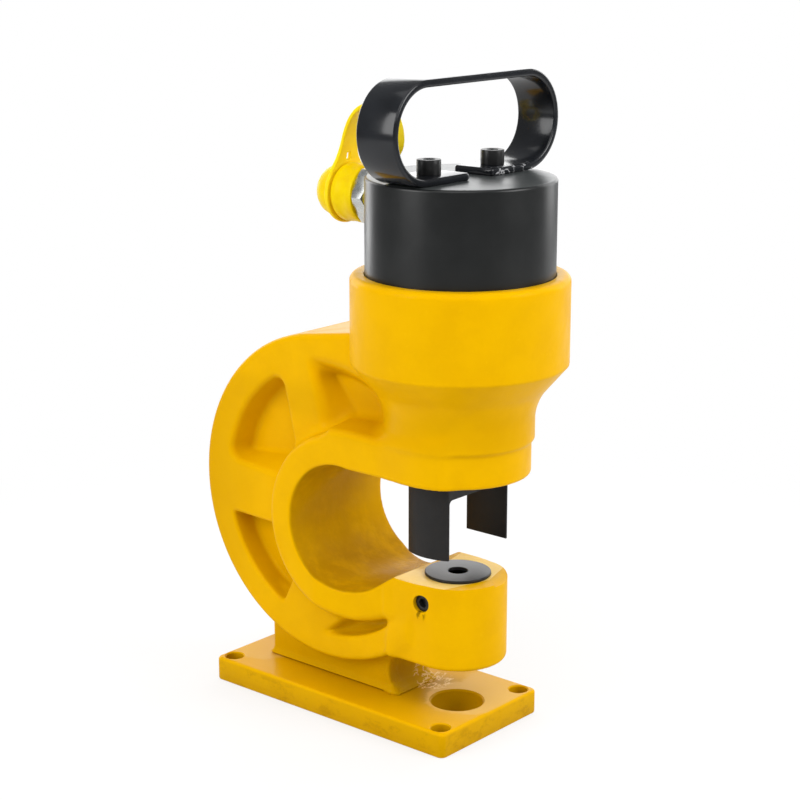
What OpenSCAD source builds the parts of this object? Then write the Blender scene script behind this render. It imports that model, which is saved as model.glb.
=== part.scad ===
// Hydraulic hole punch, millimetres.
// Origin: centre of the base plate's four mounting holes, on its underside.
// +X runs from the back of the frame towards the jaw, +Z runs up along the punch.

/* [Base plate] */
// Length of the base plate
base_l = 178; // [170:1:200]
// Width of the base plate
base_w = 87; // [82:1:110]
// Thickness of the base plate
base_t = 14.5; // [12:0.5:20]
// Radius of the base plate's upright corners
base_corner_r = 5; // [2:0.5:6]
// Distance from the plate's end to a mounting hole's centre
bolt_end = 8; // [7:0.5:10]
// Distance from the plate's side to a mounting hole's centre
bolt_side = 8; // [7:0.5:10]
// Diameter of the mounting holes
bolt_d = 11; // [7:0.5:12]
// Diameter of the slug hole in the base plate
slug_d = 30; // [24:1:34]

/* [Frame] */
// Punch axis, ahead of the centre of the base
punch_x = 64; // [60:0.5:66]
// Throat depth, from the punch axis to the back of the throat
throat_depth = 92; // [88:1:95]
// Radius of the back of the throat
throat_r = 37; // [34:0.5:38]
// Width of the throat's thick inner ring
inner_w = 81; // [74:1:84]
// Outer radius of the throat's thick inner ring
inner_r = 55; // [52:0.5:57]
// Outer radius of the big outer ring
ring_r = 96.3; // [94:0.5:97]
// Width of the outer ring's rim and ribs
rim_w = 56; // [50:1:60]
// Thickness of the web between the ribs
web_t = 27; // [20:1:32]
// Width of the foot that joins the frame to the base plate
foot_w = 33; // [30:1:40]
// Length of the foot along the base plate
foot_l = 95; // [88:1:96]
// Clear height under the jaw, where the slugs fall
jaw_gap = 28; // [26:0.5:30]
// Height of the jaw that holds the die
jaw_h = 49; // [46:1:52]
// Diameter of the jaw
jaw_d = 56; // [54:0.5:60]
// Clear height between the jaw and the neck
daylight = 60.5; // [58:0.5:64]
// Diameter of the bottom of the neck
neck_d = 80.4; // [78:0.2:81]
// Height of the bottom of the neck, up to its step
neck_low_h = 20; // [18:0.5:22]
// Diameter of the neck above the step
neck_top_d = 84; // [83:0.5:88]
// Height of the neck above the step
neck_top_h = 21.5; // [20:0.5:24]
// Height of the cone between neck and collar
cone_h = 21.5; // [19:0.5:24]
// Diameter of the collar
collar_d = 120.5; // [118:0.5:128]
// Height of the collar
collar_h = 49; // [46:1:54]
// Rounding on the collar's top edge
collar_round = 4; // [1:0.5:5]

/* [Cylinder and ram] */
// Outer diameter of the cylinder
cyl_d = 104; // [100:0.5:105]
// Height of the cylinder that stands above the collar
cyl_show = 52.4; // [50:0.2:60]
// Bore of the cylinder
bore_d = 75; // [70:0.5:78]
// Thickness of the cylinder's closed top
cyl_head_t = 12.4; // [12:0.2:15]
// Rounding on the cylinder's top edge
cyl_round = 1.5; // [0.5:0.5:3]
// Stroke of the ram
stroke = 55; // [30:1:55]
// Diameter of the ram's rod
rod_d = 50; // [48:0.5:51]
// Height of the piston
piston_h = 20; // [18:0.5:21]
// Bore in the ram for the return spring
spring_bore_d = 32; // [31:0.5:34]
// Outer diameter of the return spring
spring_d = 28; // [27:0.5:29]
// Wire diameter of the return spring
spring_wire = 3.5; // [3:0.1:3.8]
// Turns of the return spring
spring_turns = 14; // [10:1:15]
// Outer diameter of the bronze gland bush
bush_d = 62; // [60:0.5:63]
// Height of the bush's flange, clamped under the cylinder
bush_flange_t = 4; // [3:0.5:5]

/* [Punch, stripper and die] */
// Diameter of the punched hole
punch_d = 10.5; // [8:0.5:14]
// Length of the punch's thin nose
punch_nose_l = 20; // [16:1:22]
// Diameter of the punch's shank
punch_shank_d = 25; // [22:0.5:25]
// Diameter of the punch's head
punch_head_d = 30; // [28:0.5:31]
// Thickness of the punch's head
punch_head_t = 5; // [4:0.5:6]
// Clearance between punch and die on the diameter
die_clearance = 0.5; // [0.3:0.1:1]
// Outer diameter of the threaded ring that holds the punch
retainer_d = 40; // [38:0.5:42]
// Outer diameter of the stripper
strip_d = 60; // [58:0.5:62]
// Thickness of the stripper across its flats
strip_flats = 28.6; // [28:0.2:32]
// Width of the fork between the stripper's legs
strip_fork = 50.5; // [48:0.5:51]
// Clear height for the workpiece, between the die and the stripper
plate_gap = 15.4; // [12:0.2:18]
// Thickness of the stripper's crown
crown_t = 9; // [7:0.5:10]
// Height of the stripper's threaded skirt in the neck
skirt_h = 14; // [10:0.5:15]
// Outer diameter of the die
die_d = 36; // [34:0.5:40]
// Height of the die
die_h = 25; // [20:0.5:28]
// Height that the die stands above the jaw
die_proud = 1.8; // [1:0.1:3]
// Diameter of the screw that clamps the die
set_d = 10; // [8:0.5:10]

/* [Handle] */
// Width of the handle's flat bar
handle_w = 26; // [22:1:32]
// Thickness of the handle's flat bar
handle_t = 4; // [3:0.5:5]
// Overall length of the handle loop
handle_l = 140; // [130:1:160]
// Overall height of the handle loop
handle_h = 55; // [50:1:66]
// Gap between the handle's two feet
handle_gap = 20; // [14:1:24]
// Distance between the handle's two screws
handle_pitch = 54; // [48:1:58]
// Thread diameter of the handle's screws
screw_d = 8; // [6:1:8]

/* [Coupler and dust cap] */
// Width of the coupler's hexagon across its flats
hex_af = 30; // [27:0.5:32]
// Length of the coupler's hexagon
hex_l = 9; // [8:0.5:10]
// Diameter of the coupler's nose
nose_d = 24; // [22:0.5:24]
// Length of the coupler's nose
nose_l = 26; // [24:0.5:27]
// Diameter of the coupler's thread in the cylinder
port_d = 17; // [14:0.5:17]
// Travel of the coupler's valve
poppet_travel = 4; // [2:0.5:4]
// Diameter of the dust cap's grip
cap_d = 32.8; // [31:0.2:35]
// Length of the dust cap
cap_l = 30.3; // [29.6:0.1:33]
// Diameter of the strap's eye on the dust cap
eye_d = 35.4; // [34:0.2:37]
// Width of the strap
strap_w = 13; // [8:0.5:14]
// Thickness of the strap
strap_t = 2.2; // [1.6:0.1:2.4]

/* [Hidden] */
// Radial gap between pieces that run or seat in each other
run = 0.05;
// Gap between soft or loose faces
seat = 0.3;
$fn = 96;

// Heights, stacked up from the underside of the base plate
jaw_z0 = base_t + jaw_gap;
jaw_z1 = jaw_z0 + jaw_h;
neck_z0 = jaw_z1 + daylight;
step_z = neck_z0 + neck_low_h;
neck_z1 = step_z + neck_top_h;
collar_z0 = neck_z1 + cone_h;
collar_z1 = collar_z0 + collar_h;
cyl_z1 = collar_z1 + cyl_show;

// Throat and rings, seen from the side
throat_x = punch_x - throat_depth + throat_r;
throat_z = neck_z0 - throat_r;
ring_x = throat_x - 22;
ring_z = throat_z + 11;
// Radii of the inner edge of the rim behind the throat, and at the two narrow pockets
rim_in_r = ring_r - 20.5;
rim_narrow_r = ring_r - 16;
pocket_deep = (rim_w - web_t) / 2;
lip_end_x = punch_x - 23;

// Cylinder pocket in the collar, and the bush below it
pocket_z = collar_z0 - 3;
cyl_z0 = pocket_z + bush_flange_t;
bush_flange_d = cyl_d - 1;
bore_z1 = cyl_z1 - cyl_head_t;
bush_h = 26;
bush_z0 = pocket_z - bush_h;
wiper_t = 2.5;
wiper_h = 4;
wiper_z = pocket_z - 2;

// Stripper
strip_z0 = jaw_z1 + die_proud + plate_gap;
crown_z1 = neck_z0;
crown_z0 = crown_z1 - crown_t;
skirt_wall = 4;
strip_bore_d = punch_shank_d + 1;

// Ram: the rod's end stops just above the crown when the stroke is used up
rod_z0 = crown_z1 + stroke + 1;
piston_land_h = 7.6;
piston_z1 = bore_z1 - 0.4 - piston_land_h;
piston_z0 = piston_z1 - piston_h;
spring_floor_z = rod_z0 + 24;
spring_rings = 8;
boss_d = (spring_d - spring_wire) * cos(180 / spring_rings) - spring_wire - 2 * seat;
boss_h = 12;

// Punch, held up against the rod by the threaded ring
punch_seat_z = rod_z0 + 16;
punch_tip_z = rod_z0 - 62;
retainer_z0 = rod_z0 + 0.6;

// Die
die_z1 = jaw_z1 + die_proud;
die_z0 = die_z1 - die_h;
die_hole_d = punch_d + die_clearance;
slug_bore_d = 25;
set_x = punch_x - 3.2;
set_z = jaw_z1 - 11;
set_l = 9;

// Coupler, on an axis that points along -X
coup_z = cyl_z1 - 15.8;
cyl_left_x = punch_x - cyl_d / 2;
root_l = 4;
hex_x1 = cyl_left_x - root_l;
hex_x0 = hex_x1 - hex_l;
nose_x0 = hex_x0 - nose_l;
port_depth = 11;
thread_l = port_depth - 1.6;
chamber_d = 14;
mouth_d = 10;
mouth_l = 5;
passage_d = 6;

// Dust cap
cap_x1 = hex_x0 - seat;
cap_x0 = cap_x1 - cap_l;
cap_bore_d = nose_d + 0.6;
groove_x1 = cap_x1 - 15.5;
groove_w = 2.8;
groove_d = 26;
dome_d = 29;

// Points of an arc round a centre, from angle a0 to a1 in n steps
function arc(c, r, a0, a1, n) =
    [for (i = [0:n]) let (a = a0 + (a1 - a0) * i / n) c + r * [cos(a), sin(a)]];

// A side view, drawn in X and Z, made into a solid that is centred on Y
module side(width) {
    rotate([90, 0, 0]) linear_extrude(width, center = true) children();
}

// A bar round the punch axis from height z0 up to z1
module bar(d, z0, z1) {
    translate([punch_x, 0, z0]) cylinder(d = d, h = z1 - z0);
}

// A ring round the punch axis
module ring(d_out, d_in, z0, z1) {
    translate([punch_x, 0, z0]) rotate_extrude()
        translate([d_in / 2, 0]) square([(d_out - d_in) / 2, z1 - z0]);
}

// A bar along X at the coupler's height, from x0 to x1
module axle(d, x0, x1, facets = 96) {
    translate([x0, 0, coup_z]) rotate([0, 90, 0])
        cylinder(d = d, h = x1 - x0, $fn = facets);
}

// A ring round the coupler's axis
module axle_ring(d_out, d_in, x0, x1) {
    translate([x0, 0, coup_z]) rotate([0, 90, 0]) rotate_extrude()
        translate([d_in / 2, 0]) square([(d_out - d_in) / 2, x1 - x0]);
}

// One unbroken helix of round wire along +Z, its ends at height 0 and length
module helix(r, wire_r, length, turns, sides = 6, rings = spring_rings) {
    steps = turns * rings;
    pitch = (length - 2 * wire_r) / turns;
    rise = atan(pitch / (2 * PI * r));
    pts = [for (i = [0:steps], j = [0:sides - 1])
        let (a = 360 * i / rings, b = 360 * j / sides,
            out = [cos(a), sin(a), 0],
            up = [sin(a) * sin(rise), -cos(a) * sin(rise), cos(rise)],
            c = r * out + [0, 0, wire_r + pitch * i / rings])
        c + wire_r * (cos(b) * out + sin(b) * up)];
    walls = [for (i = [0:steps - 1], j = [0:sides - 1])
        let (k = (j + 1) % sides, p = i * sides, q = p + sides)
        each [[p + j, q + j, p + k], [p + k, q + j, q + k]]];
    start = [for (j = [1:sides - 2]) [0, j, j + 1]];
    last = steps * sides;
    end = [for (j = [1:sides - 2]) [last, last + j + 1, last + j]];
    polyhedron(pts, concat(walls, start, end), convexity = 20);
}

// Outline of the throat, open towards the jaw's mouth
module throat_outline() {
    polygon(concat(
        arc([throat_x, throat_z], throat_r, 90, 290, 50),
        [[throat_x + 20, throat_z - throat_r + 5.5], [lip_end_x, jaw_z1],
            [punch_x + jaw_d, jaw_z1], [punch_x + jaw_d, neck_z0]]));
}

// Pocket beside the head, between the upper rib and the head
module pocket_top() {
    intersection() {
        translate([ring_x, ring_z]) circle(rim_narrow_r);
        polygon([[ring_x - 4, ring_z + 90], [ring_x + 1.5, step_z + 2],
            [throat_x - 2, step_z + 1], [punch_x, step_z + 5], [punch_x, ring_z + 90]]);
    }
}

// Pocket between the upper rib and the rib at the back
module pocket_upper_back() {
    intersection() {
        translate([ring_x, ring_z]) circle(rim_in_r);
        polygon([[ring_x - 33, ring_z + 80], [ring_x - 30, ring_z + 48],
            [ring_x - 24, ring_z + 38], [ring_x - 38, ring_z + 21],
            [ring_x - 46, ring_z + 13], [ring_x - 90, ring_z + 10.5],
            [ring_x - 90, ring_z + 80]]);
    }
}

// Pocket between the rib at the back and the lower rib
module pocket_lower_back() {
    intersection() {
        translate([ring_x, ring_z]) circle(rim_in_r);
        polygon([[ring_x - 90, ring_z - 22], [ring_x - 43, ring_z - 22],
            [ring_x - 36, ring_z - 41], [ring_x - 26, ring_z - 56],
            [ring_x - 31, ring_z - 78], [ring_x - 90, ring_z - 78]]);
    }
}

// Small pocket under the throat
module pocket_bottom() {
    intersection() {
        translate([ring_x, ring_z]) circle(rim_narrow_r);
        polygon([[ring_x + 2, ring_z - 90], [ring_x + 6, ring_z - 70],
            [ring_x + 24, ring_z - 66], [ring_x + 49, ring_z - 61],
            [ring_x + 44, ring_z - 90]]);
    }
}

// The pockets of both sides of the outer ring
module pockets() {
    for (s = [-1, 1])
        translate([0, s * (web_t / 2 + pocket_deep), 0])
            side(2 * pocket_deep) {
                pocket_top();
                pocket_upper_back();
                pocket_lower_back();
                pocket_bottom();
            }
}

// Outer ring with its ribs and web
module outer_ring() {
    difference() {
        side(rim_w) intersection() {
            translate([ring_x, ring_z]) circle(ring_r, $fn = 160);
            translate([ring_x - ring_r, 0]) square([punch_x - ring_x + ring_r, 2 * ring_z]);
        }
        pockets();
    }
}

// Thick inner ring, which runs into the neck above and tapers to the jaw below
module inner_ring() {
    taper_x = throat_x - 19;
    difference() {
        side(inner_w) {
            translate([throat_x, throat_z]) circle(inner_r);
            translate([throat_x, neck_z0 - 1])
                square([punch_x - throat_x, step_z - neck_z0 + 1]);
            polygon([[throat_x, throat_z - inner_r], [punch_x, jaw_z0 + 24],
                [punch_x, jaw_z1], [throat_x, jaw_z1]]);
        }
        for (s = [-1, 1])
            translate([0, 0, base_t]) linear_extrude(throat_z - base_t)
                polygon([[taper_x, s * inner_w / 2], [lip_end_x, s * jaw_d / 2],
                    [punch_x + 1, s * jaw_d / 2], [punch_x + 1, s * inner_w],
                    [taper_x, s * inner_w]]);
        translate([throat_x, -inner_w, step_z])
            cube([2 * inner_w, 2 * inner_w, collar_z1]);
    }
}

// Jaw: a round boss for the die on the end of the lower arm
module jaw() {
    edge = 3;
    translate([punch_x, 0, jaw_z0]) rotate_extrude()
        polygon([[0, 0], [jaw_d / 2 - edge, 0], [jaw_d / 2, edge],
            [jaw_d / 2, jaw_h - 1], [jaw_d / 2 - 1, jaw_h], [0, jaw_h]]);
    arm_l = punch_x - lip_end_x + 5;
    translate([punch_x - arm_l, 0, 0]) rotate([90, 0, 90]) linear_extrude(arm_l)
        polygon([[-jaw_d / 2 + edge, jaw_z0], [jaw_d / 2 - edge, jaw_z0],
            [jaw_d / 2, jaw_z0 + edge], [jaw_d / 2, jaw_z1 - 1], [jaw_d / 2 - 1, jaw_z1],
            [1 - jaw_d / 2, jaw_z1], [-jaw_d / 2, jaw_z1 - 1], [-jaw_d / 2, jaw_z0 + edge]]);
}

// Head: neck, cone and collar turned round the punch axis
module head() {
    low_edge = 3;
    translate([punch_x, 0, 0]) rotate_extrude()
        polygon(concat(
            [[0, neck_z0]],
            arc([neck_d / 2 - low_edge, neck_z0 + low_edge], low_edge, -90, 0, 4),
            [[neck_d / 2, step_z - 1], [neck_top_d / 2, step_z + 1],
                [neck_top_d / 2, neck_z1], [collar_d / 2, collar_z0]],
            arc([collar_d / 2 - collar_round, collar_z1 - collar_round],
                collar_round, 0, 90, 4),
            [[0, collar_z1]]));
}

// Foot between the outer ring and the base plate, with hollow fillets fore and aft
module foot() {
    back_x = throat_x - 75.5;
    front_x = back_x + foot_l;
    fillet = 14;
    side(foot_w) difference() {
        translate([back_x, base_t]) square([foot_l + 6, 40]);
        translate([front_x + fillet, base_t + fillet]) circle(fillet);
        translate([front_x, base_t + fillet]) square([foot_l, 40]);
    }
}

module c_frame() {
    color("gold") difference() {
        union() {
            difference() {
                union() {
                    outer_ring();
                    inner_ring();
                }
                side(2 * inner_w) throat_outline();
            }
            head();
            jaw();
            difference() {
                foot();
                side(foot_w + 2) translate([ring_x, ring_z]) circle(ring_r - 12);
            }
        }
        bar(cyl_d + 2 * run, pocket_z, collar_z1 + 1);
        bar(bush_d + 2 * run, bush_z0, pocket_z + 1);
        bar(rod_d + 1.2, neck_z0, bush_z0 + 1);
        bar(strip_d + 2 * run, neck_z0 - 1, neck_z0 + skirt_h + 0.5);
        bar(die_d + 2 * run, die_z0, jaw_z1 + 1);
        bar(slug_bore_d, jaw_z0 - 1, die_z0 + 1);
        translate([set_x, 0, set_z]) rotate([90, 0, 0])
            cylinder(d = set_d + 2 * run, h = jaw_d);
        foot_screw_holes();
    }
}

// Places of the screws that hold the base plate to the foot
foot_screw_x = [throat_x - 59, throat_x - 24, throat_x + 8];
foot_screw_y = 8.2;
foot_screw_d = 8;
foot_screw_l = 28;
csk_d = 15.6;

module at_foot_screws() {
    for (x = foot_screw_x, s = [-1, 1]) translate([x, s * foot_screw_y, 0]) children();
}

module foot_screw_holes() {
    at_foot_screws() cylinder(d = foot_screw_d + 2 * run, h = foot_screw_l + 1);
}

// Base plate with rounded corners, mounting holes and the slug hole
module base_plate() {
    bolt_x = base_l / 2 - bolt_end;
    bolt_y = base_w / 2 - bolt_side;
    color("gold") difference() {
        union() {
            translate([base_corner_r - base_l / 2, -base_w / 2, 0])
                cube([base_l - 2 * base_corner_r, base_w, base_t]);
            translate([-base_l / 2, base_corner_r - base_w / 2, 0])
                cube([base_l, base_w - 2 * base_corner_r, base_t]);
            for (i = [-1, 1], j = [-1, 1])
                translate([i * (base_l / 2 - base_corner_r),
                        j * (base_w / 2 - base_corner_r), 0])
                    cylinder(r = base_corner_r, h = base_t);
        }
        for (i = [-1, 1], j = [-1, 1])
            translate([i * bolt_x, j * bolt_y, -1])
                cylinder(d = bolt_d, h = base_t + 2);
        bar(slug_d, -1, base_t + 1);
        at_foot_screws() {
            translate([0, 0, -1]) cylinder(d = foot_screw_d + 2 * run, h = base_t + 2);
            translate([0, 0, -0.01])
                cylinder(d1 = csk_d, d2 = foot_screw_d, h = (csk_d - foot_screw_d) / 2);
        }
    }
}

// Countersunk screws, driven up into the foot
module base_screws() {
    head_h = (csk_d - foot_screw_d) / 2;
    color("dimgray") at_foot_screws() difference() {
        union() {
            translate([0, 0, 0.3]) cylinder(d1 = csk_d - 0.8, d2 = foot_screw_d - 0.2,
                h = head_h - 0.4);
            translate([0, 0, 0.5]) cylinder(d = foot_screw_d, h = foot_screw_l - 0.5);
        }
        translate([0, 0, -1]) cylinder(d = 5.8, h = 4, $fn = 6);
    }
}

// Cylinder: closed at the top, with the oil port in its left side
module cylinder_body() {
    difference() {
        translate([punch_x, 0, 0]) rotate_extrude()
            polygon(concat(
                [[bore_d / 2, cyl_z0], [cyl_d / 2, cyl_z0]],
                arc([cyl_d / 2 - cyl_round, cyl_z1 - cyl_round], cyl_round, 0, 90, 4),
                [[0, cyl_z1], [0, bore_z1], [bore_d / 2, bore_z1]]));
        for (s = [-1, 1]) translate([punch_x, s * handle_pitch / 2, cyl_z1 - screw_l - 1])
            cylinder(d = screw_d + 2 * run, h = screw_l + 2);
        axle(port_d + 2 * run, cyl_left_x - 1, cyl_left_x + port_depth);
        axle(passage_d, cyl_left_x, punch_x - bore_d / 2 + 2);
        bar(anchor_thread_d + 2 * run, bore_z1 - 1, bore_z1 + anchor_thread_l + 0.5);
    }
}

module cylinder_node() {
    color("#262626") cylinder_body();
}

// Ram: piston and hollow rod in one piece, with the return spring inside
module ram() {
    land_d = bore_d - 17;
    color("silver") difference() {
        union() {
            bar(rod_d - 2 * run, rod_z0, piston_z0 + 1);
            bar(bore_d - 2 * run, piston_z0, piston_z1);
            bar(land_d, piston_z1 - 1, piston_z1 + piston_land_h);
        }
        difference() {
            bar(spring_bore_d, spring_floor_z, bore_z1 + 1);
            bar(boss_d, spring_floor_z - 1, spring_floor_z + boss_h);
        }
        bar(retainer_d + 2 * run, rod_z0 - 1, punch_seat_z - punch_head_t);
        bar(punch_head_d + 0.2, rod_z0 - 1, punch_seat_z + 0.2);
        ring(bore_d + 2, seal_in_d - 0.1, seal_z, seal_z + seal_h + 0.1);
        ring(bore_d + 2, guide_in_d - 0.1, guide_z, guide_z + guide_h + 0.1);
    }
}

// Grooves of the piston's seal and guide ring
seal_in_d = bore_d - 8;
seal_h = 5;
seal_z = piston_z1 - 8;
guide_in_d = bore_d - 5;
guide_h = 5;
guide_z = piston_z0 + 3;

module piston_seal() {
    color("darkgreen") ring(bore_d - 0.04, seal_in_d, seal_z + 0.05, seal_z + seal_h);
}

module piston_guide_ring() {
    color("peru") ring(bore_d - 0.04, guide_in_d, guide_z + 0.05, guide_z + guide_h);
}

// Punch: thin nose, shank and a head that the retainer holds up
module punch() {
    color("gray") translate([punch_x, 0, 0]) rotate_extrude()
        polygon([[0, punch_tip_z], [punch_d / 2, punch_tip_z],
            [punch_d / 2, punch_tip_z + punch_nose_l],
            [punch_shank_d / 2, punch_tip_z + punch_nose_l + 3],
            [punch_shank_d / 2, punch_seat_z - punch_head_t],
            [punch_head_d / 2, punch_seat_z - punch_head_t],
            [punch_head_d / 2, punch_seat_z], [0, punch_seat_z]]);
}

// Threaded ring in the rod's end, with two holes for a pin spanner
module punch_retainer() {
    pin_d = 4;
    pin_r = (retainer_d + punch_shank_d) / 4;
    color("dimgray") difference() {
        ring(retainer_d, punch_shank_d + 0.3, retainer_z0, punch_seat_z - punch_head_t);
        for (s = [-1, 1]) translate([punch_x + s * pin_r, 0, retainer_z0 - 1])
            cylinder(d = pin_d, h = 5);
    }
}

// Flanged bronze bush that guides the rod
module gland_bush() {
    color("darkgoldenrod") difference() {
        union() {
            bar(bush_d, bush_z0, pocket_z + 1);
            bar(bush_flange_d, pocket_z, cyl_z0);
        }
        bar(rod_d, bush_z0 - 1, cyl_z0 + 1);
        bar(rod_d + 2 * wiper_t + 0.1, wiper_z, wiper_z + wiper_h + 0.1);
    }
}

module rod_wiper() {
    color("black") ring(rod_d + 2 * wiper_t, rod_d, wiper_z + 0.05, wiper_z + wiper_h);
}

// Anchor that hangs the return spring from the cylinder's closed top
anchor_thread_d = 10;
anchor_thread_l = 7;

module spring_anchor() {
    color("gray") union() {
        bar(boss_d, bore_z1 - boss_h, bore_z1);
        bar(anchor_thread_d, bore_z1 - 1, bore_z1 + anchor_thread_l);
    }
}

// Tension spring inside the ram, drawn at rest
module return_spring() {
    end_gap = 0.5;
    color("lightgray") translate([punch_x, 0, spring_floor_z + end_gap])
        helix((spring_d - spring_wire) / 2, spring_wire / 2,
            bore_z1 - spring_floor_z - 2 * end_gap, spring_turns);
}

// Stripper: a round cup, milled to two flats, with a fork that straddles the punch
module stripper() {
    fork_r = 2.5;
    color("#2e2e2e") difference() {
        bar(strip_d, strip_z0, crown_z1 + skirt_h);
        bar(strip_d - 2 * skirt_wall, crown_z1, crown_z1 + skirt_h + 1);
        bar(strip_bore_d, strip_z0 - 1, crown_z1 + 1);
        for (s = [-1, 1])
            translate([punch_x + s * (strip_flats + strip_d) / 2, 0,
                    strip_z0 - 1 + (crown_z1 + 3 - strip_z0) / 2])
                cube([strip_d, strip_d + 2, crown_z1 + 3 - strip_z0], center = true);
        translate([punch_x, 0, 0]) rotate([90, 0, 90]) linear_extrude(strip_d, center = true)
            polygon(concat(
                [[-strip_fork / 2, strip_z0 - 1], [strip_fork / 2, strip_z0 - 1]],
                arc([strip_fork / 2 - fork_r, crown_z0 - fork_r], fork_r, 0, 90, 5),
                arc([fork_r - strip_fork / 2, crown_z0 - fork_r], fork_r, 90, 180, 5)));
    }
}

// Die: hardened ring with the cutting hole, wider below so that slugs fall free
module die() {
    land_h = 6;
    relief_d = die_hole_d + 4;
    color("#3a3a3a") translate([punch_x, 0, 0]) rotate_extrude()
        polygon([[relief_d / 2, die_z0], [die_d / 2, die_z0], [die_d / 2, die_z1 - 0.6],
            [die_d / 2 - 0.6, die_z1], [die_hole_d / 2, die_z1],
            [die_hole_d / 2, die_z1 - land_h], [relief_d / 2, die_z1 - land_h - 2]]);
}

// Socket set screw that clamps the die from the side
module die_set_screw() {
    tip_y = die_d / 2 + seat / 2;
    color("#202020") translate([set_x, 0, set_z]) rotate([90, 0, 0])
        translate([0, 0, tip_y]) difference() {
            cylinder(d = set_d - 2 * run, h = set_l);
            translate([0, 0, set_l - 4]) cylinder(d = 5.8, h = 5, $fn = 6);
        }
}

// Handle: one flat bar bent to a loop, its two feet screwed to the cylinder's top
module handle_outline(length, height) {
    r = height / 2;
    for (s = [-1, 1]) translate([s * (length / 2 - r), 0]) circle(r);
    square([length - height, height], center = true);
}

module handle() {
    color("#161616") difference() {
        translate([punch_x, 0, cyl_z1 + handle_h / 2]) rotate([90, 0, 90])
            linear_extrude(handle_w, center = true) difference() {
                handle_outline(handle_l, handle_h);
                handle_outline(handle_l - 2 * handle_t, handle_h - 2 * handle_t);
                translate([0, -handle_h / 2])
                    square([handle_gap, 3 * handle_t], center = true);
            }
        for (s = [-1, 1])
            translate([punch_x, s * handle_pitch / 2, cyl_z1 - 1])
                cylinder(d = screw_d + 1, h = handle_t + 3);
    }
}

// Socket cap screws of the handle
screw_l = 10;

module handle_screws() {
    head_d = 1.5 * screw_d + 1;
    for (s = [-1, 1]) color("#1c1c1c")
        translate([punch_x, s * handle_pitch / 2, cyl_z1 + handle_t]) difference() {
            union() {
                cylinder(d = head_d, h = screw_d);
                translate([0, 0, -handle_t - screw_l])
                    cylinder(d = screw_d, h = handle_t + screw_l + 1);
            }
            translate([0, 0, screw_d / 2])
                cylinder(d = 0.87 * screw_d, h = screw_d, $fn = 6);
        }
}

// Coupler: hexagon, thread into the cylinder and a hollow nose for the hose
module coupler_body() {
    hex_d = hex_af / cos(30);
    color("silver") difference() {
        union() {
            intersection() {
                translate([hex_x0, 0, coup_z]) rotate([0, 90, 0]) rotate([0, 0, 30])
                    cylinder(d = hex_d, h = hex_l, $fn = 6);
                translate([hex_x0, 0, coup_z]) rotate([0, 90, 0]) rotate_extrude()
                    polygon([[0, 0], [hex_af / 2, 0], [hex_d / 2 + 0.4, 1.6],
                        [hex_d / 2 + 0.4, hex_l - 1.6], [hex_af / 2, hex_l], [0, hex_l]]);
            }
            axle(nose_d - 2, hex_x1 - 1, cyl_left_x);
            axle(port_d, cyl_left_x, cyl_left_x + thread_l);
            axle(nose_d, nose_x0 + 2, hex_x0 + 1);
            axle(nose_d - 3, nose_x0, nose_x0 + 3);
        }
        axle(mouth_d, nose_x0 - 1, nose_x0 + mouth_l + 1);
        axle(chamber_d, nose_x0 + mouth_l, hex_x1);
        axle(passage_d, hex_x0, cyl_left_x + port_depth);
    }
}

// Sealing washer at the bottom of the cylinder's port
module port_washer() {
    color("chocolate") axle_ring(port_d - 0.4, passage_d + 1,
        cyl_left_x + thread_l + 0.05, cyl_left_x + port_depth - 0.05);
}

// Valve of the coupler: head, nose and guide stem
poppet_x = nose_x0 + mouth_l + seat;
poppet_stem_d = 5;

module coupler_poppet() {
    color("gainsboro") union() {
        axle(mouth_d - 1, poppet_x - mouth_l + 1, poppet_x + 1);
        axle(chamber_d - 0.2, poppet_x, poppet_x + 4);
        axle(poppet_stem_d, poppet_x + 3, guide_x - poppet_travel + 8);
    }
}

// Guide that the valve's stem slides in, pressed into the coupler's body
guide_x = hex_x1 - 7;

module coupler_guide() {
    color("khaki") difference() {
        axle(chamber_d - 0.04, guide_x, hex_x1 - 0.1);
        axle(poppet_stem_d + 0.1, guide_x - 1, hex_x1 + 1);
    }
}

module poppet_spring() {
    wire = 1.2;
    start = poppet_x + 4 + 0.2;
    color("lightgray") translate([start, 0, coup_z]) rotate([0, 90, 0])
        helix((chamber_d - 1.6 - wire) / 2, wire / 2, guide_x - 0.2 - start, 5);
}

// Dust cap: a soft cup over the nose, with a groove for the strap's eye
module dust_cap() {
    groove_x0 = groove_x1 - groove_w;
    end_d = 24;
    color("#f4e100") difference() {
        translate([0, 0, coup_z]) rotate([0, 90, 0]) rotate_extrude()
            polygon(concat(
                [[0, cap_x0], [end_d / 2 - 4, cap_x0]],
                arc([end_d / 2 - 4, cap_x0 + 4], 4, -90, -20, 4),
                [[dome_d / 2, groove_x0 - 3], [dome_d / 2, groove_x0],
                    [groove_d / 2, groove_x0], [groove_d / 2, groove_x1],
                    [cap_d / 2 - 1, groove_x1], [cap_d / 2, groove_x1 + 1],
                    [cap_d / 2, cap_x1], [0, cap_x1]]));
        axle(cap_bore_d, nose_x0 - seat, cap_x1 + 1);
    }
}

// Strap: an eye round the cap, an eye round the coupler's root and a band between
eye_t = groove_w - 0.4;
eye_x = groove_x1 - groove_w / 2;
root_x = hex_x1 + 2.1;
root_eye_d = nose_d - 2 + 2 * seat;
root_eye_t = 2.6;

module cap_strap() {
    color("#f4c400") difference() {
        union() {
            axle(eye_d, eye_x - eye_t / 2, eye_x + eye_t / 2);
            axle(root_eye_d + 10, root_x - root_eye_t / 2, root_x + root_eye_t / 2);
            side(strap_w) polygon(band(strap_path, strap_t));
        }
        axle(groove_d + 2 * seat, eye_x - eye_t, eye_x + eye_t);
        axle(root_eye_d, root_x - root_eye_t, root_x + root_eye_t);
    }
}

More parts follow.
